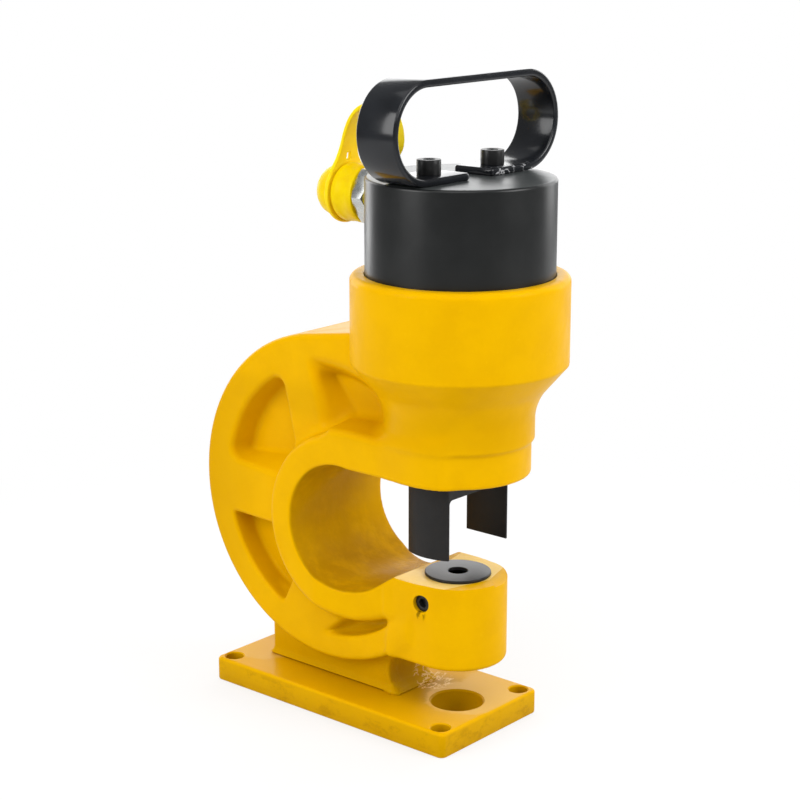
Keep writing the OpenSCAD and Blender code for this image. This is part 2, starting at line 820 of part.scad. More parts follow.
// Points of a cubic curve from a to d, drawn towards b and c, without its last point
function curve(a, b, c, d, n = 8) =
    [for (i = [0:n - 1]) let (t = i / n, u = 1 - t)
        u * u * u * a + 3 * u * u * t * b + 3 * u * t * t * c + t * t * t * d];

// Outline of a band of even thickness along a path
function band(path, thick) =
    let (last = len(path) - 1,
        sides = [for (i = [0:last])
            let (d = path[min(i + 1, last)] - path[max(i - 1, 0)])
            thick / 2 * [-d[1], d[0]] / norm(d)])
    concat([for (i = [0:last]) path[i] + sides[i]],
        [for (i = [last:-1:0]) path[i] - sides[i]]);

// The band rises from the cap's eye, arches over and comes down on the root's eye
strap_start = [eye_x, coup_z + eye_d / 2 - 1.5];
strap_top = [root_x - 6.5, coup_z + 50];
strap_side = [root_x + 8, coup_z + 31];
strap_end = [root_x, coup_z + root_eye_d / 2 + 4];
strap_path = concat(
    curve(strap_start, strap_start + [2, 14], strap_top - [12, 0], strap_top),
    curve(strap_top, strap_top + [9, 0], strap_side + [0, 10], strap_side),
    curve(strap_side, strap_side - [0, 9], strap_end + [0, 6], strap_end),
    [strap_end]);

c_frame();
base_plate();
base_screws();
cylinder_node();  // cylinder
ram();
piston_seal();
piston_guide_ring();
punch();
punch_retainer();
gland_bush();
rod_wiper();
spring_anchor();
return_spring();
stripper();
die();
die_set_screw();
handle();
handle_screws();
coupler_body();
port_washer();
coupler_poppet();
poppet_spring();
coupler_guide();
dust_cap();
cap_strap();
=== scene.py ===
import math
from functools import reduce

import bmesh
import bpy
import numpy as np
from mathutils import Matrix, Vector


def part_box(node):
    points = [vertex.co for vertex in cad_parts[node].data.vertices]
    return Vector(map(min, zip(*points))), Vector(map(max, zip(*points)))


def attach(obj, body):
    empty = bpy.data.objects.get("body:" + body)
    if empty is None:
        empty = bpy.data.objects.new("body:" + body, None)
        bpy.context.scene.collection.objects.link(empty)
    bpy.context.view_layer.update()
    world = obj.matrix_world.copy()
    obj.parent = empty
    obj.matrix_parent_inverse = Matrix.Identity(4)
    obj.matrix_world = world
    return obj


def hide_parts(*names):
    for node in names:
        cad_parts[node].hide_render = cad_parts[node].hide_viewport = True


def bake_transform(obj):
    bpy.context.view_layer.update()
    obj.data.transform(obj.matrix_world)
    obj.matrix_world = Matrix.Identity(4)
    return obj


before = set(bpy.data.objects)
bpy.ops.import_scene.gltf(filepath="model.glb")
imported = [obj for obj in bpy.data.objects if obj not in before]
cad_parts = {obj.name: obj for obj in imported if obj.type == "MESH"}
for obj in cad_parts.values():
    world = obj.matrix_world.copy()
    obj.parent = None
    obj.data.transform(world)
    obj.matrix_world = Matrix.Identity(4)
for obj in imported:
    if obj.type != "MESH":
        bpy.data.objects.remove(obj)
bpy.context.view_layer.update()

# Sizes in millimetres, as on the part: R is a radius, HALF half a width in Y, and a pair is X and Z
PUNCH_X = 64.0
THROAT = (9.0, 115.0)
THROAT_R = 37.0
RING = (-13.0, 126.0)
RING_R = 96.27
WEB_HALF = 28.0
POCKET_FLOOR = 13.5
LIP_R = 54.2
LIP_HALF = 40.5
PLATE_TOP = 14.5
FOOT_HALF = 16.5
JAW_R = 28.0
JAW_TOP = 91.5
NECK_LOW = 152.0
NECK_R = 40.2
STEP_R = 42.0
COLLAR_R = 60.25
COLLAR_TOP = 264.0
CYLINDER_R = 52.0
BORE_R = 37.5
CYLINDER_TOP = 316.4
SCREW_PITCH = 54.0
COUPLER_Z = 300.6


# Shapes as distance fields
def join(a, b, r):
    """Union of two distance fields with a hollow fillet of radius r between them."""
    return np.maximum(r, np.minimum(a, b)) - np.hypot(np.maximum(r - a, 0), np.maximum(r - b, 0))


def meet(a, b, r):
    """Intersection of two distance fields with its edge rounded to radius r."""
    return np.minimum(-r, np.maximum(a, b)) + np.hypot(np.maximum(a + r, 0), np.maximum(b + r, 0))


def disc(x, z, centre, r):
    """Distance to a round bar along Y."""
    return np.hypot(x - centre[0], z - centre[1]) - r


def beyond(x, z, p, q):
    """Signed distance from the line p to q, positive on its left."""
    dx, dz = q[0] - p[0], q[1] - p[1]
    size = math.hypot(dx, dz)
    return ((z - p[1]) * dx - (x - p[0]) * dz) / size


def within(*fields):
    """Sharp intersection of several distance fields."""
    return reduce(np.maximum, fields)


def meet_all(fields, r):
    """Intersection of a list of distance fields, its edges rounded."""
    return reduce(lambda a, b: meet(a, b, r), fields)


def rise(value, low, high):
    """0 up to low, 1 from high on, and straight between them."""
    return np.clip((value - low) / (high - low), 0, 1)


def pocket(y, rim, floor, corner, edge):
    """A pocket of the web: its outline goes from rim, at the web's face, to floor."""
    depth = np.clip((WEB_HALF - y) / (WEB_HALF - POCKET_FLOOR), -0.5, 1.3)
    outline = meet_all(rim, corner[0]) * (1 - depth) + meet_all(floor, corner[1]) * depth
    return meet(outline, POCKET_FLOOR - y, edge)


def web_pockets(x, y, z):
    """The four pockets from the top one round to the jaw, each with the radius of its brim."""
    def round_ring(r):
        return disc(x, z, RING, r)

    def line(p, q):
        return beyond(x, z, p, q)

    by_neck = pocket(y, [round_ring(81), -line((-21.5, 206), (-11.2, 171))],
                     [round_ring(71.5), -line((-15, 197), (1.5, 177.5))], (3, 2), 1.6)
    upper = pocket(y, [round_ring(77.2), -line((-36.5, 158), (-45.5, 196)),
                       -line((-89, 136.8), (-50, 133.5))],
                   [round_ring(71.8), -line((-38.5, 158), (-50, 192)), -line((-89, 139.5), (-50, 144))],
                   (9, 4), 2)
    lower = pocket(y, [round_ring(77.8), line((-92, 104.2), (-55, 103.0)), -line((-46.2, 56.5), (-39, 71))],
                   [round_ring(77.0), line((-92, 101.5), (-55, 100)), -line((-48.5, 57.5), (-41, 72))],
                   (2.5, 2.5), 2)
    by_jaw = pocket(y, [round_ring(81.3), line((-14, 44.8), (-1.4, 54.9)), line((43, 80), (43, 40))],
                    [round_ring(80.0), line((-4, 45), (4, 54)), line((39, 80), (39, 40))], (2.5, 2.5), 2)
    return (by_neck, 4.5), (upper, 2.6), (lower, 1.8), (by_jaw, 2)


def ring_field(x, y, z):
    """The outer ring, whose top runs on into the collar."""
    ring = disc(x, z, RING, RING_R)
    shoulder = within(beyond(x, z, (-24, 221.7), (6, 226.5)), -24 - x, 150 - z)
    return meet(within(np.minimum(ring, shoulder), x - 52), y - WEB_HALF, 3)


def lip_field(x, y, z):
    """The inner ring: a thick lip round the throat that tapers in width towards the jaw."""
    flare = 0.14 * np.clip(LIP_HALF - y, 0, 30)
    upper = within(beyond(x, z, (5, 168.9), (50, 174.4)) - flare * 0.5, 150 - z, 5 - x)
    lower = within(-beyond(x, z, (9, 60.6), (52, 70.5)) - flare * 0.5, z - 92, 8 - x)
    lip = np.minimum(join(disc(x, z, THROAT, LIP_R) - flare, upper, 14), lower)
    lip = within(lip, x - np.where(z > 118, 84, 62))
    narrower = (LIP_HALF - WEB_HALF) * rise(x, -12, 41) * rise(118 - z, 0, 20)
    half = LIP_HALF - narrower - 0.3 * rise(x, 44, 64)
    half = np.minimum(half, np.sqrt(np.maximum(NECK_R ** 2 - np.maximum(x - PUNCH_X, 0) ** 2, 1)))
    return meet(lip, y - half, 4.2)


def foot_field(x, y, z):
    """The foot under the ring, hollow in front."""
    foot = within(-66.5 - x, x - 31.5, z - 60, -disc(x, z, (41, 27.5), 14.5))
    return within(meet(foot, y - FOOT_HALF, 1.5), 10 - z)


def shoe_field(x, y, z):
    """The foot's wider sole."""
    return within(-68 - x, x - 27, z - 15, y - 17.2, 8 - z)


def jaw_field(x, y, z):
    """A round boss and the arm that carries it."""
    boss = np.hypot(x - PUNCH_X, y) - JAW_R
    arm = within(y - JAW_R, x - PUNCH_X, 37 - x)
    return within(meet(np.minimum(boss, arm), 42.5 - z, 3), z - JAW_TOP - 3)


def head_field(x, y, z):
    """Neck, step, cone and collar, turned round the punch's axis."""
    r = np.hypot(x - PUNCH_X, y)
    neck = within(meet(r - NECK_R, NECK_LOW - z, 2.4), z - 200)
    step = within(meet(r - STEP_R, 171.6 - z, 1.6), z - 200)
    head = join(neck, step, 1.2)
    cone_w, cone_h = COLLAR_R - STEP_R, 21.5
    cone = ((r - STEP_R) * cone_h - (z - 193.5) * cone_w) / math.hypot(cone_w, cone_h)
    head = join(head, within(cone, 180 - z, z - 216), 6)
    collar = meet(meet(r - COLLAR_R, 215 - z, 3.5), z - COLLAR_TOP, 3.6)
    return within(join(head, collar, 2), r - COLLAR_R)


def throat_field(x, y, z):
    """The throat, with a faint draft towards the middle plane, and its open mouth."""
    bore = disc(x, z, THROAT, THROAT_R + 0.012 * y)
    ramp = within(-beyond(x, z, (21.65, 80.23), (29, 83.5)), -beyond(x, z, (29, 83.5), (41, 91.5)),
                  z - NECK_LOW, 21.65 - x)
    mouth = within(JAW_TOP + 1.5 - z, z - NECK_LOW, 43.25 - x)
    ceiling = within(THROAT[1] - z, z - NECK_LOW, THROAT[0] - x)
    return reduce(np.minimum, (bore, ramp, mouth, ceiling))


def frame_field(x, y, z):
    """Distance to the cast frame's surface. Both sides are alike, so y is taken as its size."""
    y = np.abs(y)
    body = ring_field(x, y, z)
    for hole, brim in web_pockets(x, y, z):
        body = meet(body, -hole, brim)
    body = join(body, lip_field(x, y, z), 6)
    body = join(body, foot_field(x, y, z), 6)
    body = join(body, shoe_field(x, y, z), 5)
    # a fillet in front of the foot, onto the base plate
    spread = 7 * rise(x, 22, 30) * rise(24 - y, 0, 6) * rise(60 - x, 0, 10)
    body = join(body, z - 14.4, spread)
    body = join(body, jaw_field(x, y, z), 5)
    body = join(body, head_field(x, y, z), 2.5 + 4.5 * rise(214 - z, 0, 14))
    body = meet(body, -throat_field(x, y, z), 1.4)
    return within(body, PLATE_TOP - z)


def sample(field, low, high, step):
    """The field's values on a grid over the box from low to high."""
    counts = [int(math.ceil((h - l) / step)) + 1 for l, h in zip(low, high)]
    axes = [l + step * np.arange(n) for l, n in zip(low, counts)]
    values = np.empty(counts, np.float32)
    for i in range(0, counts[0], 16):
        gx, gy, gz = np.meshgrid(axes[0][i:i + 16], axes[1], axes[2], indexing="ij")
        values[i:i + 16] = field(gx, gy, gz)
    return values


def crossed_cells(values):
    """The grid cells that the surface crosses, and the mean place of its crossings in each."""
    shape = [n - 1 for n in values.shape]
    total = np.zeros((*shape, 3), np.float32)
    hits = np.zeros(shape, np.float32)

    def corner_values(corner):
        return values[tuple(slice(c, n + c) for c, n in zip(corner, shape))]

    for axis in range(3):
        first, second = [a for a in range(3) if a != axis]
        for u, v in ((0, 0), (0, 1), (1, 0), (1, 1)):
            start = [0, 0, 0]
            start[first], start[second] = u, v
            end = list(start)
            end[axis] = 1
            a, b = corner_values(start), corner_values(end)
            cross = (a < 0) != (b < 0)
            t = np.where(cross, a / np.where(cross, a - b, 1), 0)
            hits += cross
            for c in range(3):
                total[..., c] += cross * (t if c == axis else start[c])
    cells = hits > 0
    return cells, total[cells] / hits[cells][:, None]


def surface_quads(solid, index):
    """A face for each grid edge that crosses the surface, between the points of the four cells round it."""
    quads = []
    for axis in range(3):
        u, v = (axis + 1) % 3, (axis + 2) % 3
        ahead, behind = [slice(None)] * 3, [slice(None)] * 3
        ahead[axis], behind[axis] = slice(1, None), slice(None, -1)
        where = np.argwhere(solid[tuple(behind)] != solid[tuple(ahead)])
        within_grid = (where[:, u] > 0) & (where[:, v] > 0)
        within_grid &= (where[:, u] < solid.shape[u] - 1) & (where[:, v] < solid.shape[v] - 1)
        where = where[within_grid]
        corners = []
        for du, dv in ((-1, -1), (0, -1), (0, 0), (-1, 0)):
            at = where.copy()
            at[:, u] += du
            at[:, v] += dv
            corners.append(index[tuple(at.T)])
        quad = np.stack(corners, 1)
        leaving = solid[tuple(where.T)]
        quad[~leaving] = quad[~leaving][:, ::-1]
        quads.append(quad)
    return np.concatenate(quads)


def onto(field, points):
    """Points moved onto a field's surface, down its slope."""
    h = 0.05
    for _ in range(2):
        x, y, z = points.T
        value = field(x, y, z)
        slope = np.stack([field(x + h, y, z) - field(x - h, y, z),
                          field(x, y + h, z) - field(x, y - h, z),
                          field(x, y, z + h) - field(x, y, z - h)], 1) / (2 * h)
        size = np.maximum((slope ** 2).sum(1), 0.25)
        move = -(value / size)[:, None] * slope
        points = points + np.clip(move, -1, 1)
    return points


def field_mesh(field, low, high, step):
    """Points and faces of a distance field's surface, by surface nets, evened out along the surface."""
    values = sample(field, low, high, step)
    cells, places = crossed_cells(values)
    index = np.full(cells.shape, -1, np.int64)
    index[cells] = np.arange(cells.sum())
    points = (np.argwhere(cells) + places) * step + np.array(low)
    quads = surface_quads(values < 0, index)
    edges = np.concatenate([quads[:, [0, 1]], quads[:, [1, 2]], quads[:, [2, 3]], quads[:, [3, 0]]])
    edges = np.concatenate([edges, edges[:, ::-1]])
    degree = np.bincount(edges[:, 0], minlength=len(points))[:, None]
    for _ in range(6):
        mean = np.stack([np.bincount(edges[:, 0], points[edges[:, 1], c], len(points))
                         for c in range(3)], 1) / degree
        points = onto(field, points * 0.4 + mean * 0.6)
    return points, quads


# Meshes
def new_object(name, data):
    item = bpy.data.objects.new(name, data)
    bpy.context.scene.collection.objects.link(item)
    return item


def add_mesh(name, points, faces, material, body, stands_for=(), sharp=30):
    """A mesh from points in millimetres, smooth but for edges steeper than sharp degrees."""
    mesh = bpy.data.meshes.new(name)
    mesh.from_pydata((np.asarray(points, float) / 1000).tolist(), [], [list(f) for f in faces])
    mesh.update()
    item = new_object(name, mesh)
    finish_mesh(item, material, sharp)
    if body:
        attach(item, body)
    if stands_for:
        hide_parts(*stands_for)
    return item


def finish_mesh(item, material, sharp):
    """One material all over, and smooth faces but for edges steeper than sharp degrees."""
    mesh = item.data
    mesh.materials.clear()
    mesh.materials.append(material)
    mesh.polygons.foreach_set("use_smooth", [True] * len(mesh.polygons))
    mesh.polygons.foreach_set("material_index", [0] * len(mesh.polygons))
    mesh.set_sharp_from_angle(angle=math.radians(sharp))


def face_outward(mesh):
    """Turns a closed mesh's faces to look outward."""
    made = bmesh.new()
    made.from_mesh(mesh)
    bmesh.ops.recalc_face_normals(made, faces=made.faces)
    made.to_mesh(mesh)
    made.free()


def bake(item):
    """The item's modifiers become part of its mesh."""
    graph = bpy.context.evaluated_depsgraph_get()
    graph.update()
    mesh = bpy.data.meshes.new_from_object(item.evaluated_get(graph))
    item.modifiers.clear()
    item.data = mesh


def lathe(profile, centre, axis, segments):
    """Points and faces of a profile of (radius, height), turned round an axis.

    A profile that doesn't start and end on the axis closes on itself.
    """
    points, rows = [], []
    for r, h in profile:
        if r < 1e-6:
            rows.append([len(points)])
            points.append((0, 0, h))
        else:
            rows.append([len(points) + i for i in range(segments)])
            for i in range(segments):
                a = 2 * math.pi * i / segments
                points.append((r * math.cos(a), r * math.sin(a), h))
    faces = []
    closed = len(rows[0]) > 1 and len(rows[-1]) > 1
    pairs = list(zip(rows, rows[1:])) + ([(rows[-1], rows[0])] if closed else [])
    for low, high in pairs:
        for i in range(segments):
            j = (i + 1) % segments
            face = [low[i % len(low)], low[j % len(low)], high[j % len(high)], high[i % len(high)]]
            face = [p for k, p in enumerate(face) if p not in face[:k]]
            if len(face) > 2:
                faces.append(face)
    points = np.array(points, float)
    if axis == "x":
        points = points[:, [2, 0, 1]]
    if axis == "y":
        points = points[:, [1, 2, 0]]
    return points + np.array(centre, float), faces


def arc(c, r, a0, a1, n):
    """Points round c from angle a0 to a1 in degrees, in n steps."""
    return [(c[0] + r * math.cos(math.radians(a0 + (a1 - a0) * i / n)),
             c[1] + r * math.sin(math.radians(a0 + (a1 - a0) * i / n))) for i in range(n + 1)]


def rounded_rectangle(width, height, r, steps):
    """Outline of a rectangle with round corners, as pairs."""
    out = []
    for sx, sy, a0 in ((1, 1, 0), (-1, 1, 90), (-1, -1, 180), (1, -1, 270)):
        out += arc((sx * (width / 2 - r), sy * (height / 2 - r)), r, a0, a0 + 90, steps)
    return out


def cutter_of(shapes):
    """One object made of several closed shapes, given in millimetres."""
    mesh = bpy.data.meshes.new("cutter")
    points, faces, start = [], [], 0
    for p, f in shapes:
        points += (np.asarray(p, float) / 1000).tolist()
        faces += [[i + start for i in face] for face in f]
        start = len(points)
    mesh.from_pydata(points, [], faces)
    face_outward(mesh)
    return new_object("cutter", mesh)


def cut(item, shapes):
    """Takes closed shapes, given in millimetres, out of an item."""
    cutter = cutter_of(shapes)
    mod = item.modifiers.new("cut", "BOOLEAN")
    mod.operation, mod.object, mod.solver = "DIFFERENCE", cutter, "EXACT"
    bake(item)
    bpy.data.objects.remove(cutter)


def plug(r, z0, z1, x, y, chamfer, segments):
    """A cutting bar along Z, with a chamfer of that size where it leaves the top at z1 - 1."""
    profile = [(0, z0), (r, z0), (r, z1 - 1 - chamfer), (r + chamfer, z1 - 1), (r + chamfer, z1), (0, z1)]
    if chamfer == 0:
        profile = [(0, z0), (r, z0), (r, z1), (0, z1)]
    return lathe(profile, (x, y, 0), "z", segments)


def skin(loops):
    """Points and faces between loops of points, one after the other, with both ends closed."""
    n = len(loops[0])
    last = (len(loops) - 1) * n
    faces = [list(range(n))[::-1]]
    for k in range(0, last, n):
        for i in range(n):
            j = (i + 1) % n
            faces.append((k + i, k + j, k + n + j, k + n + i))
    faces.append(list(range(last, last + n)))
    return [point for loop in loops for point in loop], faces


def prism(bottom, top):
    """Points and faces between four bottom points and the four above them."""
    faces = [(3, 2, 1, 0), (4, 5, 6, 7), (0, 1, 5, 4), (1, 2, 6, 5), (2, 3, 7, 6), (3, 0, 4, 7)]
    return bottom + top, faces


def block(low, high):
    """Points and faces of a box."""
    x0, y0, z0 = low
    x1, y1, z1 = high
    corners = [(x0, y0), (x1, y0), (x1, y1), (x0, y1)]
    return prism([(x, y, z0) for x, y in corners], [(x, y, z1) for x, y in corners])


def bevelled(node, width, material, body):
    """A copy of a CAD node with its edges eased."""
    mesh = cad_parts[node].data.copy()
    made = bmesh.new()
    made.from_mesh(mesh)
    bmesh.ops.remove_doubles(made, verts=made.verts, dist=2e-6)
    bmesh.ops.dissolve_limit(made, angle_limit=math.radians(0.6), verts=made.verts,
                             edges=made.edges, use_dissolve_boundaries=False)
    bmesh.ops.recalc_face_normals(made, faces=made.faces)
    made.to_mesh(mesh)
    made.free()
    item = new_object(node + "_eased", mesh)
    mod = item.modifiers.new("ease", "BEVEL")
    mod.width, mod.segments, mod.limit_method = width / 1000, 2, "ANGLE"
    mod.angle_limit = math.radians(28)
    bake(item)
    finish_mesh(item, material, 40)
    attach(item, body)
    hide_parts(node)


# Materials
def linear(r, g, b):
    """A screen colour, 0 to 255, as light."""
    return tuple(((c / 255 + 0.055) / 1.055) ** 2.4 if c > 10 else c / 255 / 12.92 for c in (r, g, b))


class Shader:
    """A node material, built up from small pieces."""

    def __init__(self, name):
        self.material = bpy.data.materials.new(name)
        self.material.use_nodes = True
        self.tree = self.material.node_tree
        self.bsdf = self.tree.nodes["Principled BSDF"]
        self.coords = self.tree.nodes.new("ShaderNodeTexCoord").outputs["Object"]
        self.bump_last = None

    def set(self, **values):
        """Shader inputs by name: a plain value, or what another node gives."""
        for key, value in values.items():
            socket = self.bsdf.inputs[key.replace("_", " ")]
            if isinstance(value, bpy.types.NodeSocket):
                self.tree.links.new(value, socket)
            else:
                socket.default_value = value

    def noise(self, scale, detail, rough, stretch=None):
        node = self.tree.nodes.new("ShaderNodeTexNoise")
        node.inputs["Scale"].default_value = scale
        node.inputs["Detail"].default_value = detail
        node.inputs["Roughness"].default_value = rough
        source = self.coords
        if stretch:
            mapping = self.tree.nodes.new("ShaderNodeMapping")
            mapping.inputs["Scale"].default_value = stretch
            self.tree.links.new(source, mapping.inputs["Vector"])
            source = mapping.outputs["Vector"]
        self.tree.links.new(source, node.inputs["Vector"])
        return node.outputs["Fac"]

    def ramp(self, source, low, high, out_low=0.0, out_high=1.0, smooth=True):
        """A value from low to high, mapped to out_low to out_high and held beyond."""
        node = self.tree.nodes.new("ShaderNodeMapRange")
        node.interpolation_type = "SMOOTHSTEP" if smooth else "LINEAR"
        self.tree.links.new(source, node.inputs["Value"])
        node.inputs["From Min"].default_value = low
        node.inputs["From Max"].default_value = high
        node.inputs["To Min"].default_value = out_low
        node.inputs["To Max"].default_value = out_high
        return node.outputs["Result"]

    def math(self, how, a, b=None):
        node = self.tree.nodes.new("ShaderNodeMath")
        node.operation = how
        for socket, value in zip(node.inputs, (a, b)):
            if isinstance(value, bpy.types.NodeSocket):
                self.tree.links.new(value, socket)
            elif value is not None:
                socket.default_value = value
        return node.outputs[0]

    def times(self, first, *others):
        for other in others:
            first = self.math("MULTIPLY", first, other)
        return first

    def apart(self, a, b):
        """How far two values are from each other."""
        return self.math("ABSOLUTE", self.math("SUBTRACT", a, b))

    def mix(self, factor, a, b):
        """Colour a, turning to b as the factor goes from 0 to 1."""
        node = self.tree.nodes.new("ShaderNodeMix")
        node.data_type = "RGBA"
        for socket, value in ((node.inputs[0], factor), (node.inputs[6], a), (node.inputs[7], b)):
            if isinstance(value, bpy.types.NodeSocket):
                self.tree.links.new(value, socket)
            elif isinstance(value, tuple):
                socket.default_value = (*value, 1)
            else:
                socket.default_value = value
        return node.outputs[2]

    def bump(self, height, distance, strength):
        node = self.tree.nodes.new("ShaderNodeBump")
        node.inputs["Strength"].default_value = strength
        node.inputs["Distance"].default_value = distance
        self.tree.links.new(height, node.inputs["Height"])
        if self.bump_last:
            self.tree.links.new(self.bump_last, node.inputs["Normal"])
        self.bump_last = node.outputs["Normal"]
        self.tree.links.new(self.bump_last, self.bsdf.inputs["Normal"])

    def open_sky(self, distance):
        """1 on open faces, less in recesses."""
        node = self.tree.nodes.new("ShaderNodeAmbientOcclusion")
        node.samples = 6
        node.inputs["Distance"].default_value = distance
        return node.outputs["AO"]

    def split(self, source=None):
        """X, Y and Z of a vector, or else of the place on the part in metres."""
        node = self.tree.nodes.new("ShaderNodeSeparateXYZ")
        self.tree.links.new(source or self.coords, node.inputs["Vector"])
        return node.outputs

    def normal(self):
        return self.tree.nodes.new("ShaderNodeNewGeometry").outputs["Normal"]

    def near(self, centre, radius, soft):
        """1 near a point in metres, 0 beyond the radius, with soft as the part of it that fades."""
        node = self.tree.nodes.new("ShaderNodeVectorMath")
        node.operation = "DISTANCE"
        self.tree.links.new(self.coords, node.inputs[0])
        node.inputs[1].default_value = centre
        return self.ramp(node.outputs["Value"], radius * (1 - soft), radius, 1.0, 0.0)


def scratches(s, centre, radius):
    """Fine scraped lines near a point."""
    crack = s.apart(s.noise(210, 3, 0.6, (1.0, 0.5, 1.0)), 0.5)
    return s.times(s.ramp(crack, 0.014, 0.036, 1.0, 0.0), s.ramp(s.near(centre, radius, 0.6), 0.2, 0.5))


YELLOW = linear(238, 180, 0)
YELLOW_DEEP = linear(228, 169, 0)
TAN = linear(252, 214, 120)
BARE = linear(236, 204, 140)
SHINE = (1.0, 0.80, 0.10, 1.0)


def throat_painted_shade(s, x, z):
    """The throat's wall, rough cast: painted shade on it, and how strong that shade is from place to place.
    """
    across = s.math("SUBTRACT", x, THROAT[0] / 1000)
    above = s.math("SUBTRACT", z, THROAT[1] / 1000)
    from_axis = s.math("SQRT", s.math("ADD", s.times(across, across), s.times(above, above)))
    wall = s.times(s.ramp(from_axis, 0.0376, 0.0386, 1.0, 0.0), s.ramp(x, 0.022, 0.036, 1.0, 0.0))
    blotches = s.ramp(s.noise(60, 4, 0.65), 0.42, 0.70, 0.66, 0.36)
    return s.times(wall, blotches, s.ramp(x, -0.028, -0.012, 0.60, 1.35))


def machined_top(s, x, y, z):
    """1 on the jaw's machined top, which is painted again beyond a line at its far end."""
    level = s.times(s.ramp(z, 0.0912, 0.0914), s.ramp(z, 0.0918, 0.0920, 1.0, 0.0))
    facing_up = s.ramp(s.split(s.normal())[2], 0.985, 0.995)
    painted = s.ramp(s.math("ADD", x, s.times(s.apart(y, 0.0027), 0.32)), 0.0840, 0.0846)
    return s.times(facing_up, level, s.math("SUBTRACT", 1.0, painted))


def frame_paint():
    s = Shader("frame_paint")
    x, y, z = s.split()[:3]
    cloud = s.ramp(s.noise(38, 4, 0.6), 0.35, 0.68)
    color = s.mix(s.times(cloud, 0.55), YELLOW, YELLOW_DEEP)
    worn = s.ramp(s.noise(420, 2, 0.5), 0.62, 0.74)
    color = s.mix(s.times(worn, 0.10), color, linear(252, 206, 30))
    shade = s.ramp(s.open_sky(0.09), 0.10, 0.72, 0.68, 0.0, False)
    color = s.mix(shade, color, linear(180, 147, 0))
    # painted shade low on the foot and, most of all, a painted shadow under the jaw
    low = s.math("MAXIMUM", s.ramp(z, 0.016, 0.042, 0.28, 0.0),
                 s.times(s.near((0.046, -0.004, 0.020), 0.032, 0.7), 0.62))
    color = s.mix(low, color, linear(150, 116, 0))
    # painted shade on the ring's back and on the neck under the cone
    deep = s.math("MAXIMUM", s.ramp(x, -0.112, -0.058, 0.75, 0.0),
                  s.ramp(s.apart(z, 0.182), 0.003, 0.017, 0.5, 0.0))
    color = s.mix(deep, color, linear(214, 159, 0))
    # painted shade on the throat's wall
    color = s.mix(throat_painted_shade(s, x, z), color, linear(176, 126, 0))
    grain = s.ramp(s.noise(1100, 2, 0.5, (1.0, 0.3, 1.0)), 0.3, 0.7)
    tan = s.mix(s.times(grain, 0.22), TAN, linear(232, 190, 104))
    color = s.mix(machined_top(s, x, y, z), color, tan)
    # paint run under the set screw, and scratches at the foot's toe
    run = s.times(s.near((0.0605, -0.0278, 0.0738), 0.0042, 0.7),
                  s.ramp(s.noise(420, 2, 0.5, (1.0, 1.0, 0.3)), 0.50, 0.58))
    color = s.mix(run, color, linear(120, 86, 0))
    color = s.mix(scratches(s, (0.034, 0.013, 0.0160), 0.016), color, BARE)
    s.set(Base_Color=color, Roughness=s.ramp(cloud, 0.0, 1.0, 0.30, 0.38),
          Coat_Weight=0.03, Coat_Roughness=0.08, Specular_IOR_Level=0.04, Specular_Tint=SHINE)
    s.bump(s.noise(26, 2, 0.5), 0.0040, 0.30)
    s.bump(s.noise(95, 4, 0.6), 0.0016, 0.22)
    s.bump(s.noise(620, 2, 0.5), 0.0003, 0.16)
    # rough cast patches where the paint pools
    rough = s.math("MAXIMUM", s.near((0.030, 0.030, 0.085), 0.034, 0.6),
                   s.near((0.034, -0.016, 0.034), 0.022, 0.5))
    s.bump(s.times(s.noise(330, 5, 0.7), rough), 0.0018, 0.75)
    return s.material


def plate_paint():
    s = Shader("plate_paint")
    up = s.ramp(s.split(s.normal())[2], 0.80, 0.98)
    cloud = s.ramp(s.noise(26, 4, 0.62), 0.36, 0.66)
    color = s.mix(s.times(cloud, 0.5), YELLOW, YELLOW_DEEP)
    shade = s.ramp(s.open_sky(0.10), 0.15, 0.90, 0.54, 0.0, False)
    color = s.mix(shade, color, linear(156, 118, 0))
    # painted shadow of the jaw on the plate
    painted_jaw_shadow = s.times(s.near((0.045, 0.004, 0.0145), 0.030, 0.7), 0.5)
    color = s.mix(painted_jaw_shadow, color, linear(138, 104, 0))
    # thin, chalky paint round the slug hole and on the far left of the top
    ragged = s.times(s.math("SUBTRACT", s.noise(120, 4, 0.7), 0.5), 0.9)
    chalk = s.math("MAXIMUM", s.near((0.066, 0.006, 0.0145), 0.031, 0.45),
                   s.math("MAXIMUM", s.near((0.080, 0.040, 0.0145), 0.045, 0.4),
                          s.near((-0.078, -0.012, 0.0145), 0.031, 0.6)))
    chalk = s.ramp(s.math("ADD", chalk, ragged), 0.35, 0.75)
    color = s.mix(s.times(chalk, up, 0.68), color, linear(224, 181, 90))
    # scratches at the foot's far toe, and scuffs low on the sides
    color = s.mix(s.times(scratches(s, (0.034, 0.013, 0.0145), 0.018), up), color, BARE)
    scuff = s.times(s.ramp(s.noise(75, 6, 0.72, (1.0, 1.0, 1.6)), 0.50, 0.64),
                    s.ramp(s.split()[2], 0.0140, 0.0105))
    color = s.mix(s.times(scuff, 0.42), color, linear(176, 126, 0))
    s.set(Base_Color=color, Roughness=s.ramp(cloud, 0.0, 1.0, 0.34, 0.42),
          Coat_Weight=0.03, Coat_Roughness=0.15, Specular_IOR_Level=0.05, Specular_Tint=SHINE)
    s.bump(s.noise(70, 4, 0.6), 0.0014, 0.2)
    s.bump(s.noise(520, 2, 0.5), 0.0003, 0.2)
    return s.material


